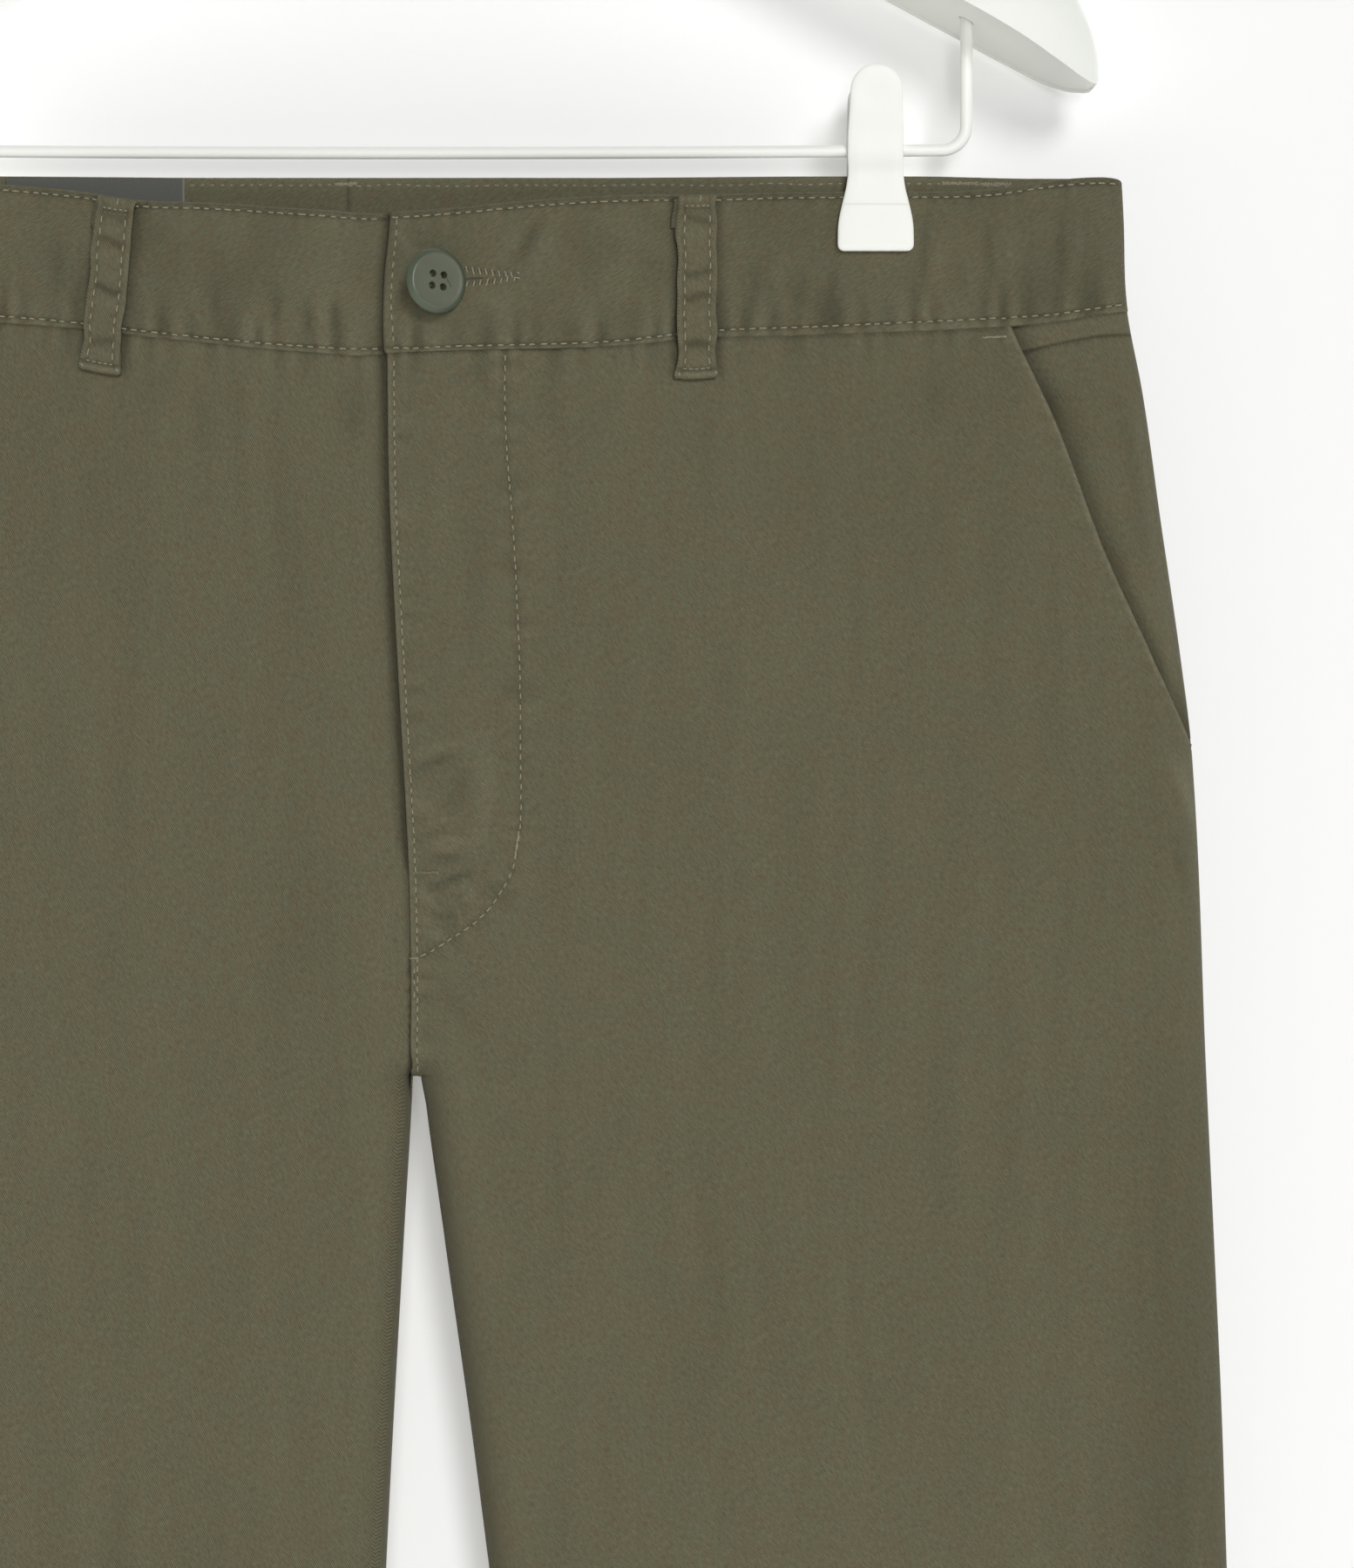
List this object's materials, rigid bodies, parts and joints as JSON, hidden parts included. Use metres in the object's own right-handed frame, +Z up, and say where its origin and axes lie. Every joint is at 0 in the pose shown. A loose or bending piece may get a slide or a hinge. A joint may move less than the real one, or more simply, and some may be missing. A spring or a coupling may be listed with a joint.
{
  "type": "chino shorts on a clip hanger",
  "caption": "Cotton-twill chino shorts with fly, slanted pockets and belt loops, pinched flat by the waistband in a clip hanger.",
  "frame": {"origin": "inside the top of the hanger's hook, where it rests on its rail", "axes": "+Z up, the front of the shorts towards -Y, the wearer's left towards +X"},
  "size_m": [0.4614, 0.0471, 0.6981],
  "materials": {
    "twill": "washed olive cotton twill, matt",
    "zip": "antique brass teeth on olive tape",
    "label": "plain dark grey woven label",
    "button": "semi-matt olive resin",
    "hanger": "satin white plastic",
    "hook": "white powder-coated wire"
  },
  "bodies": {
    "root": {"front_left": "twill", "front_right": "twill", "back_left": "twill", "back_right": "twill", "pocket_facing_left": "twill", "pocket_facing_right": "twill", "waistband_left": "twill", "waistband_right": "twill", "belt_loop_front_left": "twill", "belt_loop_front_right": "twill", "belt_loop_back_centre": "twill", "belt_loop_back_left": "twill", "belt_loop_back_right": "twill", "fly_zip": "zip", "inner_label": "label", "waist_button": "button", "hanger_arms": "hanger", "hanger_hook": "hook", "clip_rod": "hook", "clip_left_front": "hanger", "clip_left_back": "hanger", "clip_right_front": "hanger", "clip_right_back": "hanger"}
  },
  "joints": []
}
